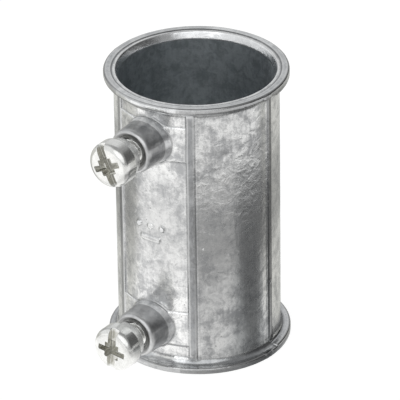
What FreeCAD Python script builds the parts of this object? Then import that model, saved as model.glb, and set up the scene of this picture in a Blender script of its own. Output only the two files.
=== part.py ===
import FreeCAD, Part
import Sketcher
import os
import re

# Set-screw coupling for 3/4 inch thin-wall steel conduit: one die-cast zinc
# body with two plated steel set screws. Millimetres, +Z along the conduit,
# origin on the axis at mid length, screws pointing along -Y.

DIMENSIONS = [
    # casting: barrel, bore and centre stop
    ("half_length", 23.0),
    ("wall_outer", 12.65),
    ("bore", 11.9),
    ("stop_inner", 10.5),
    ("stop_half", 0.8),
    # each mouth: a small step inside the flat land, a raised lip and a steep lead-in
    ("land_inner", 13.05),
    ("step_drop", 0.2),
    ("lip_radius", 12.45),
    ("lead_outer", 12.3),
    ("lead_start", 0.15),
    ("lead_depth", 1.15),
    # bead around each mouth
    ("bead_outer", 14.2),
    ("bead_edge", 0.22),
    ("bead_height", 0.85),
    ("flare_height", 1.05),
    ("back_bead_height", 1.35),
    ("back_bead_angle", 86.0),
    ("flare_blend", 1.15),
    # ribs along the barrel
    ("rib_outer", 12.85),
    ("rib_foot", 12.3),
    ("wide_rib_half", 3.1),
    ("slim_rib_half", 2.3),
    ("rib_end_gap", 1.0),
    ("front_rib_angle", 31.2),
    ("side_rib_angle", 95.0),
    ("back_rib_angle", 150.0),
    # low gate pads on the side of each bead, just in front of the die's parting plane
    ("lug_outer", 14.3),
    ("lug_angle", 85.0),
    ("lug_half_angle", 3.5),
    # sunken panel on the screw side, with a raised pad behind each boss
    ("panel_radius", 12.45),
    ("panel_half_angle", 28.2),
    ("panel_end", 21.0),
    ("pad_low", 13.2),
    ("pad_high", 18.8),
    # screw bosses
    ("screw_height", 15.9),
    ("boss_face", 17.4),
    ("boss_face_edge", 3.08),
    ("boss_edge", 0.58),
    ("boss_side", 3.62),
    ("boss_foot", 3.75),
    ("boss_foot_at", 13.2),
    ("screw_hole", 2.13),
    ("hole_mouth", 2.55),
    # small raised cavity marks cast on the panel
    ("pip_height", 0.16),
    ("pip_radius", 0.42),
    ("pip_spacing", 2.1),
    ("bar_length", 3.4),
    ("bar_width", 0.7),
    # set screws
    ("head_gap", 1.3),
    ("head_radius", 3.6),
    ("head_height", 4.4),
    ("head_round", 1.1),
    ("head_taper", 1.7),
    ("head_under", 0.6),
    ("shank_radius", 2.083),
    ("shank_length", 6.77),
    ("tip_radius", 1.55),
    ("thread_pitch", 0.794),
    ("thread_root", 1.6),
    ("slot_width", 1.45),
    ("slot_depth", 1.0),
    ("cross_width", 0.9),
    ("cross_length", 4.8),
    ("cross_depth", 1.25),
    ("square_side", 2.5),
    ("square_depth", 1.9),
    ("upper_turn", -25.0),
    ("lower_turn", 5.0),
]

doc = FreeCAD.newDocument("set_screw_coupling")
sheet = doc.addObject("Spreadsheet::Sheet", "Dims")
for row, (alias, number) in enumerate(DIMENSIONS, start=1):
    sheet.set("A%d" % row, str(number))
    sheet.setAlias("A%d" % row, alias)
doc.recompute()
PREFIX = {alias: "Dims." + alias for alias, number in DIMENSIONS}


def value(expression):
    """The number that a sheet expression gives now."""
    return float(sheet.evalExpression(expression))


def with_sheet(expression):
    """The same expression, readable from any other object."""
    return re.sub("[a-z_]+", lambda word: PREFIX.get(word.group(), word.group()), expression)


def new_body(label):
    body = doc.addObject("PartDesign::Body", label)
    body.Label = label
    return body


def origin_part(body, role):
    for feature in body.Origin.OriginFeatures:
        if feature.Role == role:
            return feature
    raise ValueError(role)


def new_sketch(body, name, role, offset=None):
    sketch = body.newObject("Sketcher::SketchObject", name)
    sketch.AttachmentSupport = (origin_part(body, role), [""])
    sketch.MapMode = "FlatFace"
    if offset:
        sketch.setExpression("AttachmentOffset.Base.z", with_sheet(offset))
    return sketch


def pin(sketch, kind, line, end, expression):
    """Hold one end of a line at a sheet-driven distance from the sketch's origin."""
    if expression == "0":
        axis = -2 if kind == "DistanceX" else -1
        sketch.addConstraint(Sketcher.Constraint("PointOnObject", line, end, axis))
        return
    number = value(expression)
    index = sketch.addConstraint(Sketcher.Constraint(kind, -1, 1, line, end, number))
    sketch.setExpression("Constraints[%d]" % index, with_sheet(expression))


def outline(sketch, corners):
    """A closed polygon; each corner is a pair of sheet expressions."""
    places = [FreeCAD.Vector(value(a), value(b), 0) for a, b in corners]
    first = sketch.GeometryCount
    for index, place in enumerate(places):
        following = places[(index + 1) % len(places)]
        sketch.addGeometry(Part.LineSegment(place, following), False)
    for index, (across, along) in enumerate(corners):
        line = first + index
        after = first + (index + 1) % len(corners)
        sketch.addConstraint(Sketcher.Constraint("Coincident", line, 2, after, 1))
        pin(sketch, "DistanceX", line, 1, across)
        pin(sketch, "DistanceY", line, 1, along)


def disc(sketch, across, along, radius):
    centre = FreeCAD.Vector(value(across), value(along), 0)
    circle = sketch.addGeometry(Part.Circle(centre, FreeCAD.Vector(0, 0, 1), value(radius)), False)
    index = sketch.addConstraint(Sketcher.Constraint("Radius", circle, value(radius)))
    sketch.setExpression("Constraints[%d]" % index, with_sheet(radius))
    pin(sketch, "DistanceX", circle, 3, across)
    pin(sketch, "DistanceY", circle, 3, along)


def feature(body, kind, name, sketch, **numbers):
    """A sketch-based feature whose sizes follow the sheet."""
    item = body.newObject("PartDesign::" + kind, name)
    item.Profile = sketch
    for prop, expression in numbers.items():
        item.setExpression(prop, with_sheet(expression))
    sketch.Visibility = False
    return item


def turned(body, kind, name, sketch, axis):
    """A full revolution or groove about an axis of its own sketch."""
    item = feature(body, kind, name, sketch)
    item.ReferenceAxis = (sketch, [axis])
    item.Angle = 360.0
    return item


def mirrored(body, name, originals):
    """The same features on the other side of the middle plane."""
    item = body.newObject("PartDesign::Mirrored", name)
    item.Originals = originals
    item.MirrorPlane = (origin_part(body, "XY_Plane"), [""])
    body.Tip = item
    doc.recompute()
    return item


def ring_edges(shape, rings, axis="Z"):
    """Names of full circles about the axis, each given as (radius, place along it)."""
    names = []
    for number, edge in enumerate(shape.Edges, start=1):
        curve = edge.Curve
        if curve.TypeId != "Part::GeomCircle":
            continue
        along = curve.Center.z if axis == "Z" else curve.Center.y
        for radius, place in rings:
            if abs(curve.Radius - radius) < 1e-4 and abs(along - place) < 1e-4:
                names.append("Edge%d" % number)
    return names


def blend(body, name, base, rings, radius, axis="Z"):
    """A round on circular edges of the feature before it."""
    doc.recompute()
    names = ring_edges(base.Shape, rings, axis)
    if len(names) < len(rings):
        raise ValueError("%s found only %d edges" % (name, len(names)))
    item = body.newObject("PartDesign::Fillet", name)
    item.Base = (base, names)
    item.setExpression("Radius", with_sheet(radius))
    return item


def polar(radius, angle):
    """Sheet expressions for a point at an angle from -Y, seen along -Z."""
    return ("(%s) * sin(%s)" % (radius, angle), "-(%s) * cos(%s)" % (radius, angle))


# ---------------------------------------------------------------- the casting

def barrel(body):
    """Plain tube with a flared bead at each mouth; its bore is opened later."""
    half = [
        ("wall_outer", "half_length - flare_height"),
        ("bead_outer - 0.18", "half_length - flare_height"),
        ("bead_outer", "half_length - bead_height"),
        ("bead_outer", "half_length - bead_edge"),
        ("bead_outer - bead_edge", "half_length"),
        ("stop_inner", "half_length"),
    ]
    lower = [(across, "-(%s)" % along) for across, along in half]
    sketch = new_sketch(body, "barrel_outline", "XZ_Plane")
    outline(sketch, half + lower[::-1])
    tube = turned(body, "Revolution", "barrel", sketch, "V_Axis")
    level = value("half_length - flare_height")
    rings = [(value("wall_outer"), level), (value("wall_outer"), -level)]
    return blend(body, "bead_flare", tube, rings, "flare_blend")


def ribs(body):
    """Six low ribs along the barrel, three on each side of the screw plane."""
    sketch = new_sketch(body, "rib_sections", "XY_Plane")
    kinds = [
        ("front_rib_angle", "wide_rib_half"),
        ("side_rib_angle", "slim_rib_half"),
        ("back_rib_angle", "wide_rib_half"),
    ]
    for side in ("", "-"):
        for angle, half in kinds:
            middle = side + angle
            outline(sketch, [
                polar("rib_foot", "(%s - %s)" % (middle, half)),
                polar("rib_foot", "(%s + %s)" % (middle, half)),
                polar("rib_outer", "(%s + %s * 0.86)" % (middle, half)),
                polar("rib_outer", "(%s - %s * 0.86)" % (middle, half)),
            ])
    pad = feature(body, "Pad", "ribs", sketch, Length="2 * (half_length - rib_end_gap)")
    pad.SideType = "Symmetric"
    return pad


def panel_cut(body, name, low, high):
    """Sinks the wall to the panel radius between two heights, over the panel's angle."""
    sketch = new_sketch(body, name + "_outline", "YZ_Plane")
    outline(sketch, [
        ("-panel_radius", low),
        ("-panel_radius", high),
        ("-bead_outer", high),
        ("-bead_outer", low),
    ])
    cut = turned(body, "Groove", name, sketch, "V_Axis")
    cut.Midplane = True
    cut.setExpression("Angle", with_sheet("2 * panel_half_angle"))
    return cut


def gate_pads(body):
    """A low pad on each side of the upper bead, left where metal entered the die."""
    sketch = new_sketch(body, "pad_sections", "XY_Plane", "half_length - flare_height")
    for side in ("", "-"):
        middle = side + "lug_angle"
        outline(sketch, [
            polar("bead_outer - 0.6", "(%s - lug_half_angle)" % middle),
            polar("bead_outer - 0.6", "(%s + lug_half_angle)" % middle),
            polar("lug_outer", "(%s + lug_half_angle * 0.9)" % middle),
            polar("lug_outer", "(%s - lug_half_angle * 0.9)" % middle),
        ])
    return feature(body, "Pad", "gate_pads", sketch, Length="flare_height - bead_edge")


def back_bead(body):
    """The back die half leaves the bead a little deeper than the front one does."""
    sketch = new_sketch(body, "back_bead_outline", "YZ_Plane")
    outline(sketch, [
        ("wall_outer - 0.2", "half_length - 0.5"),
        ("wall_outer - 0.2", "half_length - back_bead_height"),
        ("bead_outer - 0.2", "half_length - back_bead_height"),
        ("bead_outer", "half_length - back_bead_height + 0.2"),
        ("bead_outer", "half_length - 0.5"),
    ])
    half = turned(body, "Revolution", "back_bead", sketch, "V_Axis")
    half.Midplane = True
    half.setExpression("Angle", with_sheet("2 * back_bead_angle"))
    return half


def boss_axis(sketch):
    """The screw's axis as the first construction line of a sketch on the YZ plane."""
    start = FreeCAD.Vector(value("-boss_face"), value("screw_height"), 0)
    end = FreeCAD.Vector(value("-panel_radius"), value("screw_height"), 0)
    sketch.addGeometry(Part.LineSegment(start, end), True)
    for point, across in ((1, "-boss_face"), (2, "-panel_radius")):
        pin(sketch, "DistanceX", 0, point, across)
        pin(sketch, "DistanceY", 0, point, "screw_height")


def boss(body):
    """Upper screw boss: slight draft, rounded-off face edge and a flared foot."""
    sketch = new_sketch(body, "boss_outline", "YZ_Plane")
    boss_axis(sketch)
    outline(sketch, [
        ("-boss_face", "screw_height"),
        ("-boss_face", "screw_height + boss_face_edge"),
        ("-(boss_face - 0.06)", "screw_height + boss_face_edge + 0.2"),
        ("-(boss_face - 0.26)", "screw_height + boss_side - 0.12"),
        ("-(boss_face - boss_edge)", "screw_height + boss_side"),
        ("-boss_foot_at", "screw_height + boss_foot"),
        ("-(boss_foot_at - 0.75)", "screw_height + boss_foot + 0.14"),
        ("-(boss_foot_at - 1.6)", "screw_height + boss_foot + 0.34"),
        ("-(boss_foot_at - 1.8)", "screw_height + boss_foot + 0.5"),
        ("-(boss_foot_at - 1.8)", "screw_height"),
    ])
    return turned(body, "Revolution", "upper_boss", sketch, "Axis0")


def socket(body):
    """Upper half of the bore, with the lip and the conical lead-in of its mouth."""
    sketch = new_sketch(body, "socket_outline", "XZ_Plane")
    outline(sketch, [
        ("stop_inner - 1", "stop_half"),
        ("bore", "stop_half"),
        ("bore", "half_length - lead_depth"),
        ("lead_outer", "half_length - lead_start"),
        ("lip_radius", "half_length - 0.02"),
        ("land_inner - 0.05", "half_length - step_drop"),
        ("land_inner", "half_length"),
        ("land_inner", "half_length + 1"),
        ("stop_inner - 1", "half_length + 1"),
    ])
    return turned(body, "Groove", "upper_socket", sketch, "V_Axis")


def screw_hole(body):
    """Hole through the upper boss into the bore, opened out a little at the boss face."""
    sketch = new_sketch(body, "hole_outline", "YZ_Plane")
    boss_axis(sketch)
    outline(sketch, [
        ("-(boss_face + 0.2)", "screw_height"),
        ("-(boss_face + 0.2)", "screw_height + hole_mouth"),
        ("-boss_face", "screw_height + hole_mouth"),
        ("-(boss_face - hole_mouth + screw_hole)", "screw_height + screw_hole"),
        ("-(bore - 1.5)", "screw_height + screw_hole"),
        ("-(bore - 1.5)", "screw_height"),
    ])
    return turned(body, "Groove", "upper_screw_hole", sketch, "Axis0")


def cavity_marks(body):
    """Three round pips and a bar, low and blank, cast on the middle of the panel."""
    sketch = new_sketch(body, "mark_outlines", "XZ_Plane", "panel_radius - 0.4")
    for step in ("-1", "0", "1"):
        disc(sketch, "%s * pip_spacing" % step, "pip_spacing * 0.5", "pip_radius")
    left, right = "-bar_length / 2", "bar_length / 2"
    low = "-(pip_spacing + bar_width) / 2"
    high = "-(pip_spacing - bar_width) / 2"
    outline(sketch, [(left, low), (right, low), (right, high), (left, high)])
    return feature(body, "Pad", "cavity_marks", sketch, Length="0.4 + pip_height")


casting = new_body("coupling_body")
barrel(casting)
ribs(casting)
panel_cut(casting, "middle_panel", "-pad_low", "pad_low")
doc.recompute()
end_panel = panel_cut(casting, "end_panel", "pad_high", "panel_end")
upper_boss = boss(casting)
deep_bead = back_bead(casting)
pads = gate_pads(casting)
upper_socket = socket(casting)
upper_hole = screw_hole(casting)
mirrored(casting, "lower_half", [end_panel, upper_boss, deep_bead, pads, upper_socket, upper_hole])
cavity_marks(casting)


# ---------------------------------------------------------------- the screws

def screw_blank(body):
    """Turned blank along Y: underside of the head at the origin, shank towards +Y."""
    sketch = new_sketch(body, "blank_outline", "YZ_Plane")
    outline(sketch, [
        ("-head_height", "0"),
        ("-head_height", "head_radius"),
        ("-head_taper", "head_radius"),
        ("0", "head_radius - head_under"),
        ("0", "shank_radius"),
        ("shank_length - (shank_radius - tip_radius)", "shank_radius"),
        ("shank_length", "tip_radius"),
        ("shank_length", "0"),
    ])
    blank = turned(body, "Revolution", "blank", sketch, "H_Axis")
    rim = [(value("head_radius"), value("-head_height"))]
    return blend(body, "head_round", blank, rim, "head_round", axis="Y")


def thread(body):
    """Right-handed 60 degree thread, from past the tip up to the head."""
    sketch = new_sketch(body, "thread_outline", "YZ_Plane")
    start = "shank_length + thread_pitch"
    outline(sketch, [
        (start + " - thread_pitch * 0.474", "shank_radius + 0.05"),
        (start + " + thread_pitch * 0.474", "shank_radius + 0.05"),
        (start + " + thread_pitch * 0.1", "thread_root"),
        (start + " - thread_pitch * 0.1", "thread_root"),
    ])
    cut = body.newObject("PartDesign::SubtractiveHelix", "thread")
    cut.Profile = sketch
    cut.ReferenceAxis = (sketch, ["H_Axis"])
    cut.Mode = "pitch-height-angle"
    cut.setExpression("Pitch", with_sheet("thread_pitch"))
    cut.setExpression("Height", with_sheet("shank_length + thread_pitch * 0.4"))
    cut.Reversed = True
    sketch.Visibility = False
    return cut


def recess(body, name, half_width, half_height, depth):
    """One rectangular pocket of the drive recess, sunk from the face of the head."""
    sketch = new_sketch(body, name + "_outline", "XZ_Plane", "head_height")
    left, right = "-(%s)" % half_width, half_width
    low, high = "-(%s)" % half_height, half_height
    outline(sketch, [(left, low), (right, low), (right, high), (left, high)])
    return feature(body, "Pocket", name, sketch, Length=depth)


def set_screw(label, height, turn):
    """One plated steel set screw, standing off its boss as delivered."""
    body = new_body(label)
    screw_blank(body)
    doc.recompute()
    thread(body)
    doc.recompute()
    recess(body, "slot", "slot_width / 2", "head_radius + 0.5", "slot_depth")
    recess(body, "cross_arm", "cross_length / 2", "cross_width / 2", "cross_depth")
    recess(body, "square", "square_side / 2", "square_side / 2", "square_depth")
    body.setExpression("Placement.Base.y", with_sheet("-(boss_face + head_gap)"))
    body.setExpression("Placement.Base.z", with_sheet(height))
    body.Placement.Rotation = FreeCAD.Rotation(FreeCAD.Vector(0, 1, 0), value(turn))
    return body


screws = [
    set_screw("upper_set_screw", "screw_height", "upper_turn"),
    set_screw("lower_set_screw", "-screw_height", "lower_turn"),
]
doc.recompute()


# ---------------------------------------------------------------- checks and export

for item in doc.Objects:
    if "Invalid" in item.State or "Error" in item.State:
        raise ValueError("%s did not build" % item.Name)

os.makedirs("parts", exist_ok=True)
for piece in [casting] + screws:
    shape = piece.Shape
    if shape.isNull() or not shape.isValid() or len(shape.Solids) != 1:
        raise ValueError("%s is not one sound solid" % piece.Label)
    shape.exportStep("parts/%s.step" % piece.Label)
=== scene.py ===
import math

import bpy
import numpy as np
from mathutils import Matrix, Vector


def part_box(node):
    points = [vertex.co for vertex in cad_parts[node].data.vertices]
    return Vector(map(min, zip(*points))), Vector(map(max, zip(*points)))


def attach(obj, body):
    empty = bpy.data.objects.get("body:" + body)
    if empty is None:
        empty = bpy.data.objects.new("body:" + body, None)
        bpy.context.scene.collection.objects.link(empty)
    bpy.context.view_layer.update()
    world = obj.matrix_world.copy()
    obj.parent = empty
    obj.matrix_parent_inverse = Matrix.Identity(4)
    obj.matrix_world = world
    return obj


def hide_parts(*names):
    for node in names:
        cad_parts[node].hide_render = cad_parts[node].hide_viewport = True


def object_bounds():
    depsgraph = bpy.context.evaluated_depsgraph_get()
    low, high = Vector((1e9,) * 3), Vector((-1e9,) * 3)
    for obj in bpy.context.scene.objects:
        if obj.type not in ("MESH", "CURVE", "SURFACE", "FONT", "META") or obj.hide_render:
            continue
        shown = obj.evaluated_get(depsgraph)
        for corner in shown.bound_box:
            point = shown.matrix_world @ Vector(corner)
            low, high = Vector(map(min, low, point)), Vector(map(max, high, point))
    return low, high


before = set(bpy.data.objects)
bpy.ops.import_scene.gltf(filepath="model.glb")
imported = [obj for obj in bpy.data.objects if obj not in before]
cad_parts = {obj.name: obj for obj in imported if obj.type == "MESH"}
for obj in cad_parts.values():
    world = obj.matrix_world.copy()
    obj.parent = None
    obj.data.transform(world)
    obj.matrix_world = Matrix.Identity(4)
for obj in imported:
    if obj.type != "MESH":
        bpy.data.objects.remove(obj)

cad_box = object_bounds()

MM = 0.001
FLOOR_LEVEL = cad_box[0][2]

# the rest of this group is in millimetres, first what model.glb tells
HALF_LENGTH = cad_box[1][2] / MM
SCREW_LOW, SCREW_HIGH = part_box("upper_set_screw")
SCREW_HEIGHT = (SCREW_LOW[2] + SCREW_HIGH[2]) / 2 / MM
HEAD_FACE = SCREW_LOW[1] / MM
HEAD_RADIUS = SCREW_HIGH[0] / MM
# radii of the casting, from the axis of the bore outwards
BORE_RADIUS = 11.9
WALL_RADIUS = 12.65
LAND_RADIUS = 13.05
BEAD_RADIUS = 14.2
# distance of a boss's face from the axis of the bore, the face's own radius, and half the width of
# the strip that holds the bosses and no rib
BOSS_FACE = 17.4
BOSS_FACE_RADIUS = 3.1
BOSS_STRIP = 5.4

# ribs on each side of the screws, as (angle, half width) in degrees
RIBS = [(31.2, 3.1), (95.0, 2.3), (150.0, 3.1)]
# how far beside a rib its fine witness lines run, how wide they are (degrees) and how high (mm)
WITNESS_GAP = 1.0
WITNESS_WIDTH = 0.65
WITNESS_HEIGHT = 0.05
# small bumps in the casting, as (angle in degrees, height up the barrel, size, how far it stands out)
NICKS = [
    (94.5, -10.8, 0.35, 0.14),
    (30.0, -20.6, 0.4, 0.1),
    (55.0, 14.0, 0.5, -0.06),
    (-12.0, -7.5, 0.4, 0.05),
]


# ---------------------------------------------------------------- camera

CAMERA_AZIMUTH = math.radians(36.0)
CAMERA_ELEVATION = math.radians(28.62)
CAMERA_ROLL = math.radians(-0.804)
CAMERA_DISTANCE = 721 * MM


def sight_line(azimuth, elevation):
    """Unit vector from the object towards a viewer; azimuth 0 stands in front of the screws."""
    level = math.cos(elevation)
    return Vector((math.sin(azimuth) * level, -math.cos(azimuth) * level, math.sin(elevation)))


def make_camera():
    camera = bpy.data.objects.new("camera", bpy.data.cameras.new("camera"))
    bpy.context.collection.objects.link(camera)
    camera.data.lens = 420.9
    camera.data.sensor_width = 36
    camera.data.shift_x = 0.00465
    camera.data.shift_y = -0.0006
    camera.data.clip_start = 0.01
    camera.data.clip_end = 20
    toward = sight_line(CAMERA_AZIMUTH, CAMERA_ELEVATION)
    right = Vector((0, 0, 1)).cross(toward).normalized()
    up = toward.cross(right)
    across = math.cos(CAMERA_ROLL) * right + math.sin(CAMERA_ROLL) * up
    along = math.cos(CAMERA_ROLL) * up - math.sin(CAMERA_ROLL) * right
    turn = Matrix((across, along, toward)).transposed().to_4x4()
    camera.matrix_world = Matrix.Translation(toward * CAMERA_DISTANCE) @ turn
    bpy.context.scene.camera = camera


# ---------------------------------------------------------------- node shorthand

class Nodes:
    """Short calls for building one node tree."""

    def __init__(self, tree):
        self.tree = tree

    def add(self, kind, inputs=None, **settings):
        node = self.tree.nodes.new(kind)
        for name, setting in settings.items():
            setattr(node, name, setting)
        for name, source in (inputs or {}).items():
            self.feed(node.inputs[name], source)
        return node

    def feed(self, socket, source):
        if isinstance(source, bpy.types.NodeSocket):
            self.tree.links.new(source, socket)
        else:
            socket.default_value = source

    def math(self, operation, *sources):
        inputs = dict(enumerate(sources))
        return self.add("ShaderNodeMath", inputs, operation=operation).outputs[0]

    def times(self, first, *others):
        for other in others:
            first = self.math("MULTIPLY", first, other)
        return first

    def without(self, mask, share=1.0):
        """What is left of 1 when a share of the mask is taken away."""
        return self.math("SUBTRACT", 1.0, self.times(mask, share))

    def distance(self, *sides):
        """Length of a vector from its square-angled sides."""
        total = 0.0
        for side in sides:
            total = self.math("ADD", total, self.times(side, side))
        return self.math("SQRT", total)

    def remap(self, source, low, high, to_low=0.0, to_high=1.0):
        """Smooth step from to_low at low to to_high at high."""
        inputs = {"Value": source, "From Min": low, "From Max": high, "To Min": to_low, "To Max": to_high}
        return self.add("ShaderNodeMapRange", inputs, interpolation_type="SMOOTHSTEP").outputs["Result"]

    def noise(self, place, scale, detail=3.0, roughness=0.55, distortion=0.0, offset=0.0):
        """Noise from 0 to 1; scale is in cycles per unit of place."""
        if offset:
            shift = (offset, offset * 0.7, -offset)
            place = self.add("ShaderNodeVectorMath", {0: place, 1: shift}).outputs[0]
        inputs = {"Vector": place, "Scale": scale, "Detail": detail, "Roughness": roughness,
                  "Distortion": distortion}
        return self.add("ShaderNodeTexNoise", inputs).outputs["Fac"]

    def mix(self, factor, first, second):
        """Colour going from the first to the second as the factor goes from 0 to 1."""
        node = self.add("ShaderNodeMix", data_type="RGBA")
        self.feed(node.inputs["Factor"], factor)
        self.feed(node.inputs[6], first)
        self.feed(node.inputs[7], second)
        return node.outputs[2]

    def blend(self, factor, first, second):
        """The same mix on plain numbers."""
        node = self.add("ShaderNodeMix", data_type="FLOAT")
        self.feed(node.inputs["Factor"], factor)
        self.feed(node.inputs[2], first)
        self.feed(node.inputs[3], second)
        return node.outputs[0]


def new_material(name):
    material = bpy.data.materials.new(name)
    material.use_nodes = True
    nodes = Nodes(material.node_tree)
    shader = material.node_tree.nodes["Principled BSDF"]
    return material, nodes, shader


def place_mm(nodes):
    """Object coordinates in millimetres."""
    place = nodes.add("ShaderNodeTexCoord").outputs["Object"]
    return nodes.add("ShaderNodeVectorMath", {0: place, "Scale": 1 / MM}, operation="SCALE").outputs[0]


# ---------------------------------------------------------------- floor and light

WHITE = (1, 1, 1, 1)
# how bright the camera sees the floor, and the length of its side in metres
FLOOR_GLOW = 0.93
FLOOR_SIDE = 6.0

# the room's brightness, and soft round patches in it, brighter or darker, as (azimuth from the
# camera's, elevation, where its edge starts and ends, strength), the first four in degrees
ROOM_LIGHT = 0.36
DARKEST = 0.03
PATCHES = [
    (0, 37, 25, 36, 0.9),
    (0, -6, 6, 16, -0.2),
    (94, 6, 26, 46, -0.25),
    (-75, 12, 40, 70, 0.6),
    (180, 33, 18, 38, 0.42),
    (148, 0, 18, 40, -0.14),
]


def patch(nodes, direction, azimuth, elevation, inner, outer, strength):
    """One of PATCHES: its strength in the middle, fading to nothing at its outer edge."""
    axis = sight_line(CAMERA_AZIMUTH + math.radians(azimuth), math.radians(elevation))
    facing = nodes.add("ShaderNodeVectorMath", {0: direction, 1: tuple(axis)}, operation="DOT_PRODUCT")
    low = math.cos(math.radians(outer))
    high = math.cos(math.radians(inner))
    return nodes.remap(facing.outputs["Value"], low, high, 0.0, strength)


def make_world():
    """Plain studio: a grey room with soft light above and to the left, and darker patches aside."""
    world = bpy.data.worlds.new("studio")
    bpy.context.scene.world = world
    world.use_nodes = True
    nodes = Nodes(world.node_tree)
    background = world.node_tree.nodes["Background"]
    direction = nodes.add("ShaderNodeTexCoord").outputs["Generated"]
    light = ROOM_LIGHT
    for values in PATCHES:
        light = nodes.math("ADD", light, patch(nodes, direction, *values))
    light = nodes.math("MAXIMUM", light, DARKEST)
    nodes.feed(background.inputs["Strength"], light)
    background.inputs["Color"].default_value = (0.98, 0.99, 1.0, 1)


def mirrored_floor(nodes):
    """Brightness and tint of the floor as the metal mirrors it.

    A point of the floor is told by how many millimetres it lies to the right of the barrel's axis,
    how many ahead of it towards the viewer, and how far it is from the axis.
    """
    place = place_mm(nodes)
    apart = nodes.add("ShaderNodeSeparateXYZ", {0: place})
    x, y = apart.outputs[0], apart.outputs[1]
    cosine, sine = math.cos(CAMERA_AZIMUTH), math.sin(CAMERA_AZIMUTH)
    across = nodes.math("ADD", nodes.times(x, cosine), nodes.times(y, sine))
    ahead = nodes.math("SUBTRACT", nodes.times(x, sine), nodes.times(y, cosine))
    far = nodes.distance(across, ahead)

    def beyond(angle, soft):
        """0 to 1 across the line on the floor that the barrel mirrors at this angle round its side."""
        turn = math.radians(angle)
        start_across, start_ahead = WALL_RADIUS * math.sin(turn), WALL_RADIUS * math.cos(turn)
        way_across, way_ahead = math.sin(2 * turn), math.cos(2 * turn)
        offset = nodes.math("SUBTRACT", nodes.times(across, way_ahead), nodes.times(ahead, way_across))
        offset = nodes.math("SUBTRACT", offset, start_across * way_ahead - start_ahead * way_across)
        return nodes.remap(offset, -soft, soft)

    near = nodes.remap(far, 81, 68)
    # dark card at the right, seen as the dark band down the barrel
    card = nodes.times(beyond(27.5, 6.5), nodes.without(beyond(50, 3)), near)
    # dimmer front; its left edge is crisp near the object and soft further off
    front = nodes.blend(nodes.remap(far, 66, 88), beyond(-4, 5), beyond(-9, 26))
    front = nodes.times(front, nodes.without(beyond(52, 5)))
    front = nodes.times(front, nodes.blend(near, 0.28, nodes.remap(far, 20, 34, 0.5, 0.58)))
    # dim and warmer behind the object
    behind = nodes.times(beyond(49, 4), nodes.remap(ahead, 8, -4))
    # dimmer ring at middle distance, which the middle of the barrel mirrors
    hollow = nodes.times(nodes.remap(far, 34, 50), nodes.remap(far, 82, 64))
    # shade close round the object, except at its left
    shade = nodes.times(nodes.remap(far, 17.5, 15.5), nodes.remap(across, -12, -8))
    brightness = nodes.math("SUBTRACT", nodes.blend(hollow, 1.1, 0.82), front)
    brightness = nodes.math("SUBTRACT", brightness, nodes.times(behind, 0.52))
    brightness = nodes.times(brightness, nodes.without(card, 0.88), nodes.without(shade, 0.4))
    tint = nodes.mix(card, WHITE, (0.92, 0.97, 1.0, 1))
    tint = nodes.mix(behind, tint, (1.0, 1.0, 0.95, 1))
    return brightness, tint


def make_floor():
    """White sweep. The camera sees it plain; the metal sees its uneven brightness."""
    side = FLOOR_SIDE / 2
    mesh = bpy.data.meshes.new("floor")
    corners = [(-side, -side, 0), (side, -side, 0), (side, side, 0), (-side, side, 0)]
    mesh.from_pydata(corners, [], [(0, 1, 2, 3)])
    floor = bpy.data.objects.new("floor", mesh)
    floor.location.z = FLOOR_LEVEL
    bpy.context.collection.objects.link(floor)
    material, nodes, shader = new_material("floor")
    camera_ray = nodes.add("ShaderNodeLightPath").outputs["Is Camera Ray"]
    brightness, tint = mirrored_floor(nodes)
    nodes.feed(shader.inputs["Emission Color"], nodes.mix(camera_ray, tint, WHITE))
    nodes.feed(shader.inputs["Emission Strength"], nodes.blend(camera_ray, brightness, FLOOR_GLOW))
    shader.inputs["Base Color"].default_value = (0.16, 0.16, 0.16, 1)
    shader.inputs["Roughness"].default_value = 0.9
    shader.inputs["Specular IOR Level"].default_value = 0.0
    mesh.materials.append(material)


# ---------------------------------------------------------------- materials

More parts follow.
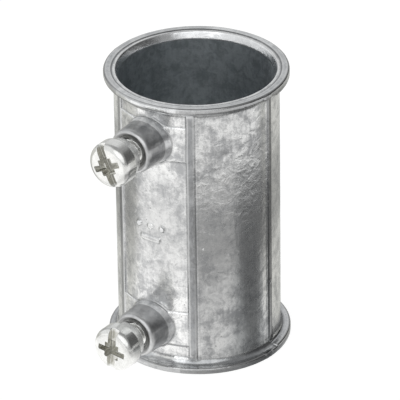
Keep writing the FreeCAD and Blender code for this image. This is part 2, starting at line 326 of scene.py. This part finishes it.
def casting_regions(nodes, place):
    """Where the features of the casting are, as masks from 0 to 1."""
    apart = nodes.add("ShaderNodeSeparateXYZ", {0: place})
    x, y = apart.outputs[0], apart.outputs[1]
    aside = nodes.math("ABSOLUTE", x)
    radius = nodes.distance(x, y)
    level = nodes.math("ABSOLUTE", apart.outputs[2])
    # depth below the nearer mouth
    depth = nodes.math("SUBTRACT", HALF_LENGTH, level)
    reach = nodes.distance(nodes.math("SUBTRACT", level, SCREW_HEIGHT), x)
    region = {"level": level, "right": nodes.remap(x, 3.0, 8.0, 0.3, 1.0)}
    region["inside"] = nodes.times(nodes.remap(radius, BORE_RADIUS + 0.3, BORE_RADIUS + 0.05),
                                   nodes.remap(depth, 1.1, 1.4))
    # everything that stands proud of the wall: ribs, bosses and beads
    region["raised"] = nodes.remap(radius, WALL_RADIUS + 0.03, WALL_RADIUS + 0.15)
    # ribs and the rims of the beads, and in part the land and the flare beside a rim
    beside_rim = nodes.times(nodes.remap(depth, 2.4, 2.0),
                             nodes.remap(radius, BEAD_RADIUS - 0.25, BEAD_RADIUS - 0.35))
    region["rib"] = nodes.times(region["raised"], nodes.remap(aside, BOSS_STRIP, BOSS_STRIP + 0.3),
                                nodes.without(beside_rim, 0.6))
    region["boss"] = nodes.times(nodes.math("SUBTRACT", region["raised"], region["rib"]),
                                 nodes.remap(depth, 1.8, 2.2))
    # ribs along the parting line, at both sides, painted dark as the shadow along them
    region["parting"] = nodes.times(region["rib"], nodes.remap(nodes.math("ABSOLUTE", y), 3.0, 2.6),
                                    nodes.remap(depth, 1.4, 1.8))
    # the lead-in of each mouth, painted bright as a painted highlight, and the step between its lip and
    # the flat land of the bead
    region["mouth"] = nodes.times(nodes.remap(radius, WALL_RADIUS - 0.05, WALL_RADIUS - 0.15),
                                  nodes.remap(depth, 1.3, 1.1))
    # the step is painted dark as the shade in it
    region["step"] = nodes.times(nodes.remap(radius, LAND_RADIUS + 0.07, LAND_RADIUS - 0.01),
                                 nodes.remap(radius, LAND_RADIUS - 0.21, LAND_RADIUS - 0.13),
                                 nodes.remap(depth, 0.5, 0.38))
    # boss faces, in the shade of the screw heads
    region["face"] = nodes.times(nodes.remap(y, 0.25 - BOSS_FACE, 0.15 - BOSS_FACE),
                                 nodes.remap(reach, BOSS_FACE_RADIUS + 0.1, BOSS_FACE_RADIUS))
    # both edges of a bead's rim, the one at the mouth and the one towards the barrel, painted dark as the
    # shade lines along them
    mouth_edge = nodes.times(nodes.remap(radius, BEAD_RADIUS - 0.34, BEAD_RADIUS - 0.26),
                             nodes.remap(depth, 0.26, 0.18))
    barrel_edge_shade = nodes.times(nodes.remap(radius, BEAD_RADIUS - 0.42, BEAD_RADIUS - 0.3),
                              nodes.remap(depth, 0.64, 0.72))
    region["rim"] = nodes.math("MAXIMUM", mouth_edge, barrel_edge_shade)
    return region


def cast_zinc():
    material, nodes, shader = new_material("cast_zinc")
    place = place_mm(nodes)
    region = casting_regions(nodes, place)
    proud = nodes.add("ShaderNodeAttribute", attribute_name="proud").outputs["Fac"]
    mottle = nodes.noise(place, 0.3, 3.0, 0.6, 0.5)
    patches = nodes.noise(place, 0.75, 3.0, 0.55, 1.0, offset=11.0)
    grain = nodes.noise(place, 3.2, 3.0, 0.6, 0.0, offset=23.0)
    stretched = nodes.add("ShaderNodeVectorMath", {0: place, 1: (1, 1, 0.12)}, operation="MULTIPLY")
    streaks = nodes.noise(stretched.outputs[0], 2.4, 2.0, 0.5, 0.2, offset=37.0)
    # thin cold-flow wrinkles, only in some patches
    folded = nodes.noise(place, 0.6, 2.0, 0.5, 1.6, offset=51.0)
    wrinkle = nodes.remap(nodes.math("ABSOLUTE", nodes.math("SUBTRACT", folded, 0.5)), 0.014, 0.0)
    wrinkle = nodes.times(wrinkle, nodes.remap(patches, 0.44, 0.6))
    # dark pin holes
    cells = nodes.add("ShaderNodeTexVoronoi", {"Vector": place, "Scale": 0.9})
    pin = nodes.times(nodes.remap(cells.outputs["Distance"], 0.11, 0.06), nodes.remap(mottle, 0.48, 0.56))
    # light and dark of the bare skin; the middle of the barrel is smoother than its ends
    tone = 0.0
    for pattern, share in ((mottle, 0.42), (patches, 0.33), (grain, 0.15), (streaks, 0.1)):
        tone = nodes.math("ADD", tone, nodes.times(pattern, share))
    spread = nodes.remap(region["level"], 5.0, 15.0, 0.13, 0.1)
    tone = nodes.remap(tone, nodes.math("SUBTRACT", 0.49, spread), nodes.math("ADD", 0.49, spread))

    skin = nodes.mix(tone, (0.43, 0.435, 0.44, 1), (0.84, 0.84, 0.83, 1))
    worn = nodes.mix(tone, (0.62, 0.63, 0.64, 1), WHITE)
    # ribs and bead rims painted darker, more in some patches than others
    grimy = nodes.times(region["rib"], nodes.remap(patches, 0.3, 0.7, 0.42, 0.66))
    for mask, share, colour in (
        (wrinkle, 0.42, (0.25, 0.25, 0.25, 1)),
        (pin, 0.7, (0.12, 0.12, 0.12, 1)),
        (region["raised"], 0.4, (0.605, 0.625, 0.645, 1)),
        (region["boss"], 0.75, worn),
        (grimy, 1.0, (0.12, 0.122, 0.125, 1)),
        # painted shadow along the parting ribs
        (region["parting"], 0.7, (0.09, 0.09, 0.095, 1)),
        # painted highlight on the lead-in of each mouth
        (region["mouth"], 0.75, (0.78, 0.785, 0.79, 1)),
        # painted shade in the step between lip and land
        (region["step"], 0.6, (0.05, 0.052, 0.055, 1)),
        (region["face"], 0.92, (0.03, 0.03, 0.03, 1)),
        # painted shade along both edges of each bead's rim
        (region["rim"], 0.5, (0.06, 0.06, 0.065, 1)),
    ):
        skin = nodes.mix(nodes.times(mask, share), skin, colour)
    # the dull inside, with pale scratches on its right
    dark = nodes.mix(tone, (0.40, 0.43, 0.45, 1), (0.61, 0.645, 0.665, 1))
    dark = nodes.mix(nodes.times(wrinkle, region["right"]), dark, (0.95, 0.97, 0.98, 1))
    colour = nodes.mix(region["inside"], skin, dark)
    # dirt and painted shade in the grooves, bright worn edges
    dirt_and_shade = nodes.times(nodes.remap(proud, -0.1, -0.8), nodes.remap(patches, 0.3, 0.7, 0.15, 0.6))
    colour = nodes.mix(dirt_and_shade, colour, (0.16, 0.165, 0.17, 1))
    colour = nodes.mix(nodes.remap(proud, 0.1, 0.7, 0.0, 0.3), colour, (0.88, 0.88, 0.87, 1))
    nodes.feed(shader.inputs["Base Color"], colour)
    shader.inputs["Metallic"].default_value = 1.0

    roughness = nodes.blend(tone, 0.3, 0.17)
    for mask, value in ((region["raised"], 0.2), (region["boss"], 0.33), (region["inside"], 0.45)):
        roughness = nodes.blend(mask, roughness, value)
    nodes.feed(shader.inputs["Roughness"], roughness)
    broad = nodes.add("ShaderNodeBump", {"Height": patches, "Distance": 0.055 * MM, "Strength": 0.7})
    fine = nodes.add("ShaderNodeBump", {"Height": grain, "Distance": 0.015 * MM, "Strength": 0.6,
                                        "Normal": broad.outputs[0]})
    nodes.feed(shader.inputs["Normal"], fine.outputs[0])
    return material


def plated_steel():
    material, nodes, shader = new_material("plated_steel")
    place = place_mm(nodes)
    apart = nodes.add("ShaderNodeSeparateXYZ", {0: place})
    level = nodes.math("ABSOLUTE", apart.outputs[2])
    reach = nodes.distance(nodes.math("SUBTRACT", level, SCREW_HEIGHT), apart.outputs[0])
    # the recess: behind the head's face, away from its side, and no deeper than it is cut
    depth = nodes.math("SUBTRACT", apart.outputs[1], HEAD_FACE)
    recess = nodes.times(nodes.remap(depth, 0.12, 0.4),
                         nodes.remap(reach, HEAD_RADIUS - 0.3, HEAD_RADIUS - 0.7),
                         nodes.remap(depth, 2.4, 2.2))
    patches = nodes.noise(place, 0.8, 3.0, 0.6, 0.3)
    grain = nodes.noise(place, 6.0, 3.0, 0.6, 0.0, offset=5.0)
    tone = nodes.math("ADD", nodes.times(patches, 0.6), nodes.times(grain, 0.4))
    tone = nodes.remap(tone, 0.3, 0.7)
    colour = nodes.mix(tone, (0.70, 0.70, 0.68, 1), (0.86, 0.86, 0.84, 1))
    colour = nodes.mix(nodes.times(recess, 0.6), colour, (0.44, 0.43, 0.38, 1))
    # dirt and painted shade in the corners, bright worn edges
    proud = nodes.add("ShaderNodeAttribute", attribute_name="proud").outputs["Fac"]
    colour = nodes.mix(nodes.remap(proud, -0.2, -1.0, 0.0, 0.45), colour, (0.2, 0.2, 0.18, 1))
    colour = nodes.mix(nodes.remap(proud, 0.2, 1.0, 0.0, 0.4), colour, (0.93, 0.93, 0.92, 1))
    nodes.feed(shader.inputs["Base Color"], colour)
    shader.inputs["Metallic"].default_value = 1.0
    nodes.feed(shader.inputs["Roughness"], nodes.blend(tone, 0.26, 0.16))
    bump = nodes.add("ShaderNodeBump", {"Height": grain, "Distance": 0.01 * MM, "Strength": 0.5})
    nodes.feed(shader.inputs["Normal"], bump.outputs[0])
    return material


# ---------------------------------------------------------------- pieces

CASTING_VOXEL = 0.13
SCREW_VOXEL = 0.07


def remeshed(node, name, voxel, rounds):
    """A closed even mesh of a CAD node, with its edges softened in so many rounds.

    It is in millimetres, as the voxel's size is; finished() takes it back to metres.
    """
    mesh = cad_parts[node].data.copy()
    mesh.transform(Matrix.Scale(1 / MM, 4))
    piece = bpy.data.objects.new(name, mesh)
    bpy.context.collection.objects.link(piece)
    skin = piece.modifiers.new("skin", "REMESH")
    skin.mode = "VOXEL"
    skin.voxel_size = voxel
    soften = piece.modifiers.new("soften", "SMOOTH")
    soften.factor = 0.5
    soften.iterations = rounds
    return piece


def applied(piece):
    """The piece's mesh with its modifiers worked in."""
    view = bpy.context.evaluated_depsgraph_get()
    mesh = bpy.data.meshes.new_from_object(piece.evaluated_get(view))
    piece.modifiers.clear()
    piece.data = mesh
    return mesh


def thinned(piece, share):
    """Keeps the same skin with a share of its triangles."""
    piece.modifiers.new("thin", "DECIMATE").ratio = share
    applied(piece)


def finished(piece, material):
    """Applies the modifiers, goes back to metres and shades smooth."""
    mesh = applied(piece)
    mesh.transform(Matrix.Scale(MM, 4))
    mesh.materials.clear()
    mesh.materials.append(material)
    mesh.polygons.foreach_set("use_smooth", np.ones(len(mesh.polygons), dtype=bool))
    mesh.polygons.foreach_set("material_index", np.zeros(len(mesh.polygons), dtype=np.int32))
    mesh.update()


def clouds(piece, name, size, strength):
    """Gentle uneven skin of a die casting; size and strength are in millimetres."""
    texture = bpy.data.textures.new(name, "CLOUDS")
    texture.noise_scale = size
    texture.noise_depth = 2
    wave = piece.modifiers.new(name, "DISPLACE")
    wave.texture = texture
    wave.texture_coords = "LOCAL"
    wave.strength = strength
    wave.mid_level = 0.5


def points_mm(mesh):
    """The points of a mesh in millimetres, one in each row."""
    points = np.empty(len(mesh.vertices) * 3)
    mesh.vertices.foreach_get("co", points)
    return points.reshape(-1, 3) / MM


def mark_curvature(piece, rounds, limit):
    """Writes how far each point stands out of its smoothed surroundings.

    The mark is +1 on edges and -1 in grooves that are at least limit (in millimetres) high or deep.
    """
    mesh = piece.data
    points = points_mm(mesh)
    count = len(points)
    normals = np.empty(count * 3)
    mesh.vertex_normals.foreach_get("vector", normals)
    normals = normals.reshape(-1, 3)
    ends = np.empty(len(mesh.edges) * 2, dtype=np.int32)
    mesh.edges.foreach_get("vertices", ends)
    first, second = ends.reshape(-1, 2).T
    valence = np.bincount(np.concatenate([first, second]), minlength=count)[:, None]
    smooth = points.copy()
    for _ in range(rounds):
        total = np.empty_like(smooth)
        for axis in range(3):
            column = smooth[:, axis]
            total[:, axis] = (np.bincount(first, column[second], count)
                              + np.bincount(second, column[first], count))
        smooth = 0.5 * smooth + 0.5 * total / np.maximum(valence, 1)
    proud = np.einsum("ij,ij->i", points - smooth, normals) / limit
    attribute = mesh.attributes.new("proud", "FLOAT", "POINT")
    attribute.data.foreach_set("value", np.clip(proud, -1, 1).astype(np.float32))


def cast_marks(piece):
    """Fine witness lines beside the ribs and a few nicks, raised on the finished mesh."""
    mesh = piece.data
    points = points_mm(mesh)
    radius = np.hypot(points[:, 0], points[:, 1])
    angle = np.degrees(np.arctan2(points[:, 0], -points[:, 1]))
    outside = (radius > WALL_RADIUS - 0.45) & (radius < WALL_RADIUS + 0.65)
    between_beads = np.abs(points[:, 2]) < HALF_LENGTH - 1.8
    lift = np.zeros(len(points))
    for middle, half in RIBS:
        for side in (-1, 1):
            for edge in (middle - half - WITNESS_GAP, middle + half + WITNESS_GAP):
                lift += WITNESS_HEIGHT * np.exp(-((angle - side * edge) / WITNESS_WIDTH) ** 2)
    for around, along, size, height in NICKS:
        reach = np.hypot(np.radians(angle - around) * WALL_RADIUS, points[:, 2] - along)
        lift += height * np.exp(-(reach / size) ** 2)
    lift = np.where(outside & between_beads, lift, 0.0)
    points[:, :2] *= (1 + lift / radius)[:, None]
    mesh.vertices.foreach_set("co", (points * MM).ravel())
    mesh.update()


def make_casting(material):
    voxel = CASTING_VOXEL
    piece = remeshed("coupling_body", "die_cast_coupling", voxel, 3)
    clouds(piece, "broad_waves", 4.0, 0.05)
    clouds(piece, "small_waves", 1.1, 0.03)
    finished(piece, material)
    cast_marks(piece)
    mark_curvature(piece, 10, 0.03)
    thinned(piece, 0.3)
    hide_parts("coupling_body")
    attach(piece, "body")


def make_screw(node, body, material):
    piece = remeshed(node, node + "_plated", SCREW_VOXEL, 2)
    finished(piece, material)
    mark_curvature(piece, 8, 0.03)
    thinned(piece, 0.4)
    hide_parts(node)
    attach(piece, body)


make_camera()
make_world()
make_floor()
zinc = cast_zinc()
steel = plated_steel()
make_casting(zinc)
make_screw("upper_set_screw", "upper_screw", steel)
make_screw("lower_set_screw", "lower_screw", steel)
bpy.context.scene.view_settings.view_transform = "Standard"
